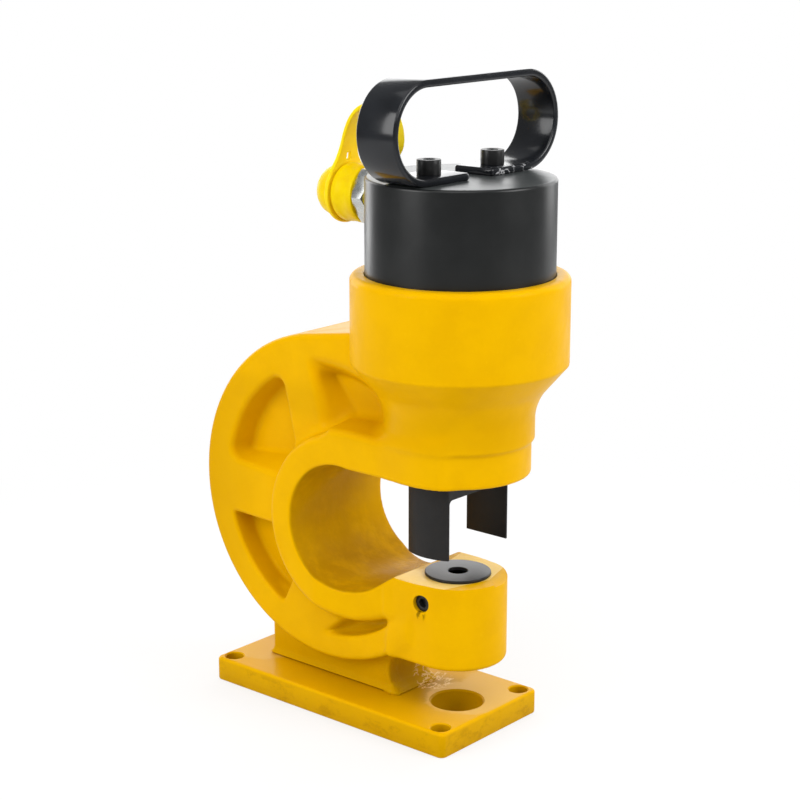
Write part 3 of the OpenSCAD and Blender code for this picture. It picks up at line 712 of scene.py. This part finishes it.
def black_satin(name, base, rough, grain=0.15, top=1.0, gloss=0.35):
    """Blackened steel; its faces that look up are lighter by the factor top, a painted reflection of the
    bright space above.
    """
    s = Shader(name)
    cloud = s.ramp(s.noise(60, 3, 0.6), 0.35, 0.7)
    color = s.mix(cloud, base, tuple(c * 1.2 for c in base))
    # painted reflection: faces that look up turn lighter by the factor top
    up = s.ramp(s.split(s.normal())[2], 0.90, 0.99)
    color = s.mix(up, color, tuple(c * top for c in base))
    s.set(Base_Color=color, Roughness=s.ramp(cloud, 0.0, 1.0, rough - 0.01, rough + 0.02),
          Specular_IOR_Level=gloss)
    s.bump(s.noise(700, 2, 0.5), 0.0002, grain)
    return s.material


def gloss_black():
    s = Shader("handle_black")
    cloud = s.ramp(s.noise(45, 3, 0.6), 0.35, 0.7)
    base, lighter = (0.0070, 0.0077, 0.0098), (0.0105, 0.0120, 0.0150)
    color = s.mix(cloud, base, lighter)
    # chips in the paint along the front edge of the far foot
    x, y, z = s.split()[:3]
    far_foot = s.times(s.ramp(y, 0.010, 0.014), s.ramp(y, 0.044, 0.052, 1.0, 0.0))
    front_edge = s.times(s.ramp(z, 0.3195, 0.3215, 1.0, 0.0), s.ramp(x, 0.070, 0.0755))
    crack = s.ramp(s.apart(s.noise(120, 2, 0.6), 0.5), 0.008, 0.020, 1.0, 0.0)
    broken = s.ramp(s.noise(70, 1, 0.5), 0.34, 0.42)
    chips = s.times(crack, broken, front_edge, far_foot)
    color = s.mix(chips, color, (0.42, 0.42, 0.43))
    s.set(Base_Color=color, Roughness=s.ramp(cloud, 0.0, 1.0, 0.16, 0.21),
          Coat_Weight=0.14, Coat_Roughness=0.05, Specular_IOR_Level=0.38)
    s.bump(s.noise(110, 2, 0.5), 0.0004, 0.06)
    s.bump(chips, 0.0004, 0.6)
    return s.material


def metal(name, base, rough, scratch=0.2):
    s = Shader(name)
    cloud = s.ramp(s.noise(90, 3, 0.6), 0.3, 0.7)
    color = s.mix(cloud, base, tuple(min(1.0, c * 0.82) for c in base))
    s.set(Base_Color=color, Metallic=1.0,
          Roughness=s.ramp(s.noise(240, 3, 0.6), 0.3, 0.7, rough - 0.06, rough + 0.08))
    s.bump(s.noise(420, 2, 0.5), 0.0002, scratch)
    return s.material


def soft_plastic(name, base, deep, rough=0.42):
    s = Shader(name)
    cloud = s.ramp(s.noise(70, 3, 0.6), 0.35, 0.7)
    s.set(Base_Color=s.mix(cloud, base, deep),
          Roughness=s.ramp(cloud, 0.0, 1.0, rough - 0.05, rough + 0.05),
          Subsurface_Weight=0.15, Subsurface_Scale=0.003, Specular_IOR_Level=0.2,
          Specular_Tint=(1.0, 0.9, 0.3, 1.0))
    s.bsdf.inputs["Subsurface Radius"].default_value = (1.0, 0.7, 0.15)
    s.bump(s.noise(380, 2, 0.5), 0.0003, 0.14)
    return s.material


PAINT = frame_paint()
PLATE = plate_paint()
# the top factors below lighten faces that look up, a painted reflection, most on the cylinder and the die
SATIN = black_satin("cylinder_black", (0.0072, 0.0079, 0.0079), 0.30, 0.05, 7.5, 0.42)
HANDLE = gloss_black()
CHARCOAL = black_satin("dark_steel", (0.0150, 0.0142, 0.0138), 0.42, 0.20, 1.2, 0.20)
DIE_TOP = black_satin("tool_steel", (0.010, 0.010, 0.010), 0.38, 0.2, 6.0)
SCREW = black_satin("screw_black", (0.012, 0.012, 0.012), 0.34, 0.15)
STEEL = metal("bright_steel", (0.76, 0.78, 0.76), 0.27, 0.04)
SPRING = metal("spring_steel", (0.45, 0.45, 0.46), 0.32)
BRONZE = metal("bronze", (0.56, 0.36, 0.16), 0.34)
COPPER = metal("copper", (0.72, 0.34, 0.20), 0.34)
SEAL = black_satin("seal", (0.010, 0.030, 0.016), 0.5, 0.1)
BEARING = soft_plastic("bearing_strip", linear(190, 140, 90), linear(172, 122, 74), 0.5)
CAP = soft_plastic("cap_plastic", linear(243, 211, 0), linear(238, 200, 0))
STRAP = soft_plastic("strap_plastic", linear(255, 224, 28), linear(252, 213, 14))


# Pieces
def cast_frame():
    """The frame as one casting, with the bores and the jaw's flat top cut out of it."""
    cell = 1.3
    points, quads = field_mesh(frame_field, (-112, -64, 11), (128, 64, 268), cell)
    casting = add_mesh("c_frame_cast", points, quads, PAINT, "tool", ("c_frame",), 75)
    axis = (PUNCH_X, 0, 0)
    thread = [(0, 212), (CYLINDER_R + 0.05, 212), (CYLINDER_R + 0.05, COLLAR_TOP - 0.6),
              (CYLINDER_R + 0.9, COLLAR_TOP + 0.2), (CYLINDER_R + 0.9, 280), (0, 280)]
    neck_bore = [(0, 100), (30.05, 100), (30.05, 166.5), (25.6, 166.5), (25.6, 186), (31.05, 186),
                 (31.05, 213), (0, 213)]
    die_seat = [(0, 20), (12.5, 20), (12.5, 68.3), (18.05, 68.3), (18.05, JAW_TOP), (0, JAW_TOP)]
    set_screw_hole = [(0, -50), (5.05, -50), (5.05, -18), (0, -18)]
    cut(casting, [
        block((-120, -70, 0), (140, 70, PLATE_TOP)),
        lathe(thread, axis, "z", 128),
        lathe(neck_bore, axis, "z", 96),
        lathe(die_seat, axis, "z", 96),
        block((40.9, -45, JAW_TOP), (100, 45, 110)),
        lathe(set_screw_hole, (60.8, 0, 80.5), "y", 40),
    ])
    # a shallow facet at the far end of the jaw's machined top
    corners = [(84.3, 2.7), (98, -6), (90, 35), (75.2, 30)]
    slope = [(x, y, JAW_TOP - 0.2 * (0.949 * (x - 84.3) + 0.316 * (y - 2.7))) for x, y in corners]
    cut(casting, [prism(slope, [(x, y, 97) for x, y in corners])])
    finish_mesh(casting, PAINT, 58)


def rounded_plate():
    """The plate without its holes: corner rounds it in plan, and ease rounds its top edge."""
    length, width, corner, ease, steps = 178.0, 87.0, 3.6, 1.8, 8

    def loop(inset, z):
        r = max(corner - inset * 0.55, 0.8)
        return [(x, y, z) for x, y in rounded_rectangle(length - 2 * inset, width - 2 * inset, r, steps)]

    loops = [loop(1.0, 0.0), loop(0.3, 0.3), loop(0.0, 1.0)]
    for i in range(steps + 1):
        a = math.radians(90 * i / steps)
        loops.append(loop(ease * (1 - math.cos(a)), PLATE_TOP - ease + ease * math.sin(a)))
    return skin(loops)


def base_plate():
    points, faces = rounded_plate()
    plate = add_mesh("base_plate_rounded", points, faces, PLATE, "tool", ("base_plate",))
    over = PLATE_TOP + 1
    bolt_r, bolt_x, bolt_y = 5.5, 81, 35.5
    slug_r, screw_y = 15, 8.2
    holes = [plug(bolt_r, -2, over, i * bolt_x, j * bolt_y, 0.7, 48) for i in (-1, 1) for j in (-1, 1)]
    holes.append(plug(slug_r, -2, over, PUNCH_X, 0, 1.0, 80))
    countersunk = [(0, -2), (9.8, -2), (7.8, 0), (4.05, 3.75), (4.05, over), (0, over)]
    for x in (-50, -15, 17):
        for side in (-1, 1):
            holes.append(lathe(countersunk, (x, side * screw_y, 0), "z", 40))
    cut(plate, holes)
    finish_mesh(plate, PLATE, 35)


def cylinder():
    """The cylinder, its bore open below and its top's rim rounded."""
    rim = 1.6
    profile = [(BORE_R, 216), (CYLINDER_R - 0.4, 216), (CYLINDER_R, 216.4),
               (CYLINDER_R, CYLINDER_TOP - rim)]
    profile += arc((CYLINDER_R - rim, CYLINDER_TOP - rim), rim, 0, 90, 6)[1:]
    profile += [(0, CYLINDER_TOP), (0, 304), (BORE_R, 304)]
    points, faces = lathe(profile, (PUNCH_X, 0, 0), "z", 160)
    add_mesh("cylinder_turned", points, faces, SATIN, "tool", ("cylinder",))


def handle_path():
    """Middle line of the bent bar, in Y and Z, from its near foot's end to its far foot's."""
    bend, reach = 25.5, 42.5
    low, high = CYLINDER_TOP + 2, CYLINDER_TOP + 2 + 2 * bend
    path = [(y, low) for y in np.linspace(-9.0, -reach, 16)]
    path += arc((-reach, low + bend), bend, 270, 90, 40)[1:]
    path += [(y, high) for y in np.linspace(-reach, reach, 26)][1:]
    path += arc((reach, low + bend), bend, 90, -90, 40)[1:]
    path += [(y, low) for y in np.linspace(reach, 10.4, 15)][1:]
    return path


def swept_bar(path, outline, centre_x):
    """The outline, in pairs of across and through, carried along the path, its two ends eased."""
    path = np.array(path)
    along = np.gradient(path, axis=0)
    along /= np.linalg.norm(along, axis=1)[:, None]
    normal = np.stack([along[:, 1], -along[:, 0]], 1)
    rings, places = [], []
    ends = [(0.0, 0.55), (0.22, 0.85), (0.7, 1.0)]
    for push, size in ends:
        places.append((path[0] + along[0] * push, normal[0], size))
    places += [(path[i], normal[i], 1.0) for i in range(1, len(path) - 1)]
    for push, size in ends[::-1]:
        places.append((path[-1] - along[-1] * push, normal[-1], size))
    for p, n, size in places:
        inset = (1 - size) * 1.4
        ring = []
        for across, through in reversed(outline):
            u = across - math.copysign(inset, across)
            v = through - math.copysign(min(inset, abs(through) * 0.9), through)
            ring.append((centre_x + u, p[0] + n[0] * v, p[1] + n[1] * v))
        rings.append(ring)
    return skin(rings)


def handle():
    points, faces = swept_bar(handle_path(), rounded_rectangle(26, 4, 1.15, 3), PUNCH_X)
    grip = add_mesh("handle_bar", points, faces, HANDLE, "tool", ("handle",), 50)
    low, high, pitch = CYLINDER_TOP - 3, CYLINDER_TOP + 8, SCREW_PITCH / 2
    cut(grip, [plug(4.5, low, high, PUNCH_X, side * pitch, 0, 32) for side in (-1, 1)])
    face_outward(grip.data)
    finish_mesh(grip, HANDLE, 50)


def die():
    """The die, ground all over, with a thin flange that lies on the jaw."""
    profile = [(7.5, 68.3), (17.5, 68.3), (18, 68.8), (18, JAW_TOP), (18.2, 91.6)]
    profile += arc((18.45, 91.9), 0.35, -90, 0, 3) + arc((18.2, 92.7), 0.6, 0, 90, 4)
    profile += [(5.9, 93.3), (5.5, 92.9), (5.5, 87.3), (7.5, 85.3)]
    points, faces = lathe(profile, (PUNCH_X, 0, 0), "z", 96)
    add_mesh("die_ground", points, faces, DIE_TOP, "tool", ("die",), 25)


def dust_cap():
    """The cap, turned round the coupler's axis: its dome, a groove for the strap's eye, and its rim."""
    profile = [(0, -33.6), (5.0, -33.4), (8.9, -32.6), (11.6, -31.0), (13.3, -28.8), (14.3, -26.2),
               (14.8, -23.6), (14.9, -21.4), (14.6, -20.6), (13.2, -20.3), (13.0, -20.0), (13.0, -17.4),
               (13.4, -16.95), (15.3, -16.7), (16.1, -16.3), (16.4, -15.3), (16.4, -12.0), (16.2, -11.4),
               (16.2, -6.0), (16.4, -5.5), (16.4, -2.2), (16.2, -1.6), (15.6, -1.3), (12.9, -1.3),
               (12.4, -1.8), (12.3, -3.0), (12.3, -27.3), (0, -27.3)]
    points, faces = lathe(profile, (0, 0, COUPLER_Z), "x", 96)
    add_mesh("dust_cap_moulded", points, faces, CAP, "cap", ("dust_cap",), 40)


def cubic(a, b, c, d, n):
    """n points of a Bezier curve, without its last."""
    t = np.linspace(0, 1, n + 1)[:-1, None]
    a, b, c, d = (np.array(p, float) for p in (a, b, c, d))
    u = 1 - t
    return u ** 3 * a + 3 * u * u * t * b + 3 * u * t * t * c + t ** 3 * d


def strap_line():
    """The band's middle line, from the cap's eye over the top to the eye at the coupler's root."""
    start, top, side, end = (-18.7, 12.6), (3.6, 50.0), (18.1, 31.0), (10.1, 14.6)
    return np.concatenate([cubic(start, (-17.8, 33.0), (-10.5, 50.0), top, 14),
                           cubic(top, (12.6, 50.0), (18.1, 41.0), side, 10),
                           cubic(side, (18.1, 22.0), (10.1, 21.3), end, 8),
                           [end]])


def from_line(x, z, line):
    """Distance to a line of points, and how far along it the nearest place is, from 0 to 1."""
    best = np.full(np.broadcast(x, z).shape, 1e3)
    along = np.zeros_like(best)
    total = len(line) - 1
    for i in range(total):
        (ax, az), (bx, bz) = line[i], line[i + 1]
        dx, dz = bx - ax, bz - az
        t = np.clip(((x - ax) * dx + (z - az) * dz) / (dx * dx + dz * dz), 0, 1)
        d = np.hypot(x - ax - t * dx, z - az - t * dz)
        nearer = d < best
        best = np.where(nearer, d, best)
        along = np.where(nearer, (i + t) / total, along)
    return best, along


def strap_field(x, y, z):
    """The strap: two eyes and a band that bends between them."""
    z = z - COUPLER_Z
    y = np.abs(y)
    r = np.hypot(y, z)
    eye = meet(meet(r - 17.6, np.abs(x + 18.7) - 1.3, 0.6), 13.35 - r, 0.5)
    root = meet(meet(r - 16.2, np.abs(x - 10.1) - 1.3, 0.6), 11.35 - r, 0.5)
    from_middle, along = from_line(x, z, STRAP_LINE)
    half = 6.2 + 7.5 * np.clip(1 - along / 0.15, 0, 1) ** 2.6 + 4.0 * rise(along, 0.88, 1.0) ** 2
    band = meet(from_middle - 1.1, y - half, 0.6)
    slit = within(y - 1.45, np.abs(z - 19.6) - 2.3, x + 8)
    band = meet(band, -slit, 0.3)
    out = join(join(band, eye, 1.6), root, 1.4)
    return within(out, np.where(x < -12, 13.3 - r, np.where(x > 6, 11.3 - r, -1e3)))


STRAP_LINE = strap_line()


def cap_strap():
    points, quads = field_mesh(strap_field, (-24, -19, COUPLER_Z - 19), (22, 19, COUPLER_Z + 54),
                               0.5)
    strap = add_mesh("strap_moulded", points, quads, STRAP, None, (), 60)
    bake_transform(strap)
    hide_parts("cap_strap")


def coil_spring(node, radius, wire, turns, axis):
    """A coil in the box of the CAD node it takes the place of, wound along the axis."""
    low, high = (np.array(corner) * 1000 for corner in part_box(node))
    middle, k = (low + high) / 2, "xyz".index(axis)
    first, last = low[k] + wire / 2, high[k] - wire / 2
    rings, sides = 24, 12
    steps = turns * rings
    loops = []
    for i in range(steps + 1):
        turn, along = math.tau * i / rings, first + (last - first) * i / steps
        loop = []
        for j in range(sides):
            around = -math.tau * j / sides
            r = radius + wire / 2 * math.cos(around)
            point = middle.copy()
            point[k] = along + wire / 2 * math.sin(around)
            point[(k + 1) % 3] += r * math.cos(turn)
            point[(k + 2) % 3] += r * math.sin(turn)
            loop.append(point)
        loops.append(loop)
    points, faces = skin(loops)
    item = add_mesh(node + "_coil", points, faces, SPRING, None, (), 40)
    ends = (middle / 1000).tolist(), (middle / 1000).tolist()
    ends[0][k], ends[1][k] = low[k] / 1000, high[k] / 1000
    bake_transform(item)
    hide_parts(node)


def keep(node, material):
    """A CAD node that stays as built, with a better material."""
    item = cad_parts[node]
    item.data.materials.clear()
    item.data.materials.append(material)
    item.data.polygons.foreach_set("material_index", [0] * len(item.data.polygons))


# The whole tool, piece by piece
cast_frame()
base_plate()
cylinder()
handle()
bevelled("handle_screws", 0.55, SCREW, "tool")
bevelled("stripper", 0.5, CHARCOAL, "tool")
bevelled("die_set_screw", 0.4, SCREW, "die_clamp")
bevelled("base_screws", 0.25, SCREW, "tool")
bevelled("coupler_body", 0.35, STEEL, "tool")
bevelled("punch", 0.3, CHARCOAL, "ram_unit")
bevelled("punch_retainer", 0.3, CHARCOAL, "ram_unit")
die()
dust_cap()
cap_strap()
coil_spring("return_spring", 12.25, 3.5, 14, "z")
coil_spring("poppet_spring", 5.6, 1.2, 5, "x")
keep("ram", STEEL)
keep("piston_seal", SEAL)
keep("piston_guide_ring", BEARING)
keep("gland_bush", BRONZE)
keep("rod_wiper", SEAL)
keep("spring_anchor", STEEL)
keep("port_washer", COPPER)
keep("coupler_poppet", STEEL)
keep("coupler_guide", BRONZE)


# Floor, light and camera
def shader_mix(tree, factor, first, second):
    node = tree.nodes.new("ShaderNodeMixShader")
    for socket, source in zip(node.inputs, (factor, first, second)):
        tree.links.new(source, socket)
    return node.outputs[0]


def floor_white():
    """White that fades to a glow away from the object. Rays that aren't the camera's meet grey."""
    s = Shader("floor_white")
    s.set(Base_Color=(0.90, 0.90, 0.90, 1), Roughness=0.9, Specular_IOR_Level=0.0)
    glow = s.tree.nodes.new("ShaderNodeEmission")
    grey = s.tree.nodes.new("ShaderNodeBsdfDiffuse")
    grey.inputs["Color"].default_value = (0.66, 0.66, 0.66, 1)
    rays = s.tree.nodes.new("ShaderNodeLightPath")
    far = s.math("SUBTRACT", 1.0, s.near((0.02, 0, 0), 0.55, 0.75))
    glowing = s.math("ADD", 0.72, s.times(far, 0.28))
    seen = shader_mix(s.tree, glowing, s.bsdf.outputs[0], glow.outputs[0])
    surface = shader_mix(s.tree, rays.outputs["Is Camera Ray"], grey.outputs[0], seen)
    s.tree.links.new(surface, s.tree.nodes["Material Output"].inputs["Surface"])
    return s.material


def add_floor(half):
    mesh = bpy.data.meshes.new("floor")
    corners = [(-half, -half, 0), (half, -half, 0), (half, half, 0), (-half, half, 0)]
    mesh.from_pydata(corners, [], [(0, 1, 2, 3)])
    mesh.materials.append(floor_white())
    floor = new_object("floor", mesh)


def add_world():
    """Soft light from all round, dimmer where it is mirrored, behind a plain white background."""
    world = bpy.data.worlds.new("studio")
    scene.world = world
    world.use_nodes = True
    tree = world.node_tree
    tree.nodes.clear()

    def sky(color, strength):
        node = tree.nodes.new("ShaderNodeBackground")
        node.inputs["Color"].default_value = color
        node.inputs["Strength"].default_value = strength
        return node.outputs[0]

    cool, white = (0.96, 0.98, 1.0, 1), (1, 1, 1, 1)
    rays = tree.nodes.new("ShaderNodeLightPath").outputs
    light = shader_mix(tree, rays["Is Glossy Ray"], sky(cool, 0.38), sky(cool, 0.26))
    surface = shader_mix(tree, rays["Is Camera Ray"], light, sky(white, 1.0))
    output = tree.nodes.new("ShaderNodeOutputWorld")
    tree.links.new(surface, output.inputs["Surface"])


def aim(item, place, target):
    item.location = place
    item.rotation_euler = (Vector(target) - Vector(place)).to_track_quat("-Z", "Y").to_euler()


def softbox(name, place, width, height, power):
    light = bpy.data.lights.new(name, "AREA")
    light.shape, light.size, light.size_y = "RECTANGLE", width, height
    light.energy = power
    aim(new_object(name, light), place, (0.02, 0, 0.18))


def add_camera(place, target):
    camera = bpy.data.cameras.new("camera")
    camera.lens, camera.sensor_width = 87.56, 36
    camera.clip_start, camera.clip_end = 0.05, 50
    scene.camera = new_object("camera", camera)
    aim(scene.camera, place, target)


scene = bpy.context.scene
add_floor(40)
add_world()
softbox("key", (-0.46, -1.44, 0.85), 0.8, 1.1, 12.5)
softbox("front", (0.75, -1.00, 1.45), 1.2, 1.2, 8)
softbox("fill", (1.38, 0.45, 0.95), 0.8, 0.9, 13)
softbox("top", (0.1, -0.1, 1.7), 1.5, 1.5, 5)
softbox("back", (-0.80, 1.20, 0.60), 1.7, 0.9, 10)
softbox("rim", (0.35, 1.45, 0.60), 0.6, 1.0, 5)
softbox("edge", (-1.5, 0.30, 0.5), 0.5, 1.0, 6)
add_camera((0.7159, -0.8094, 0.4632), (0.0209, 0, 0.1853))
scene.view_settings.view_transform = "Standard"
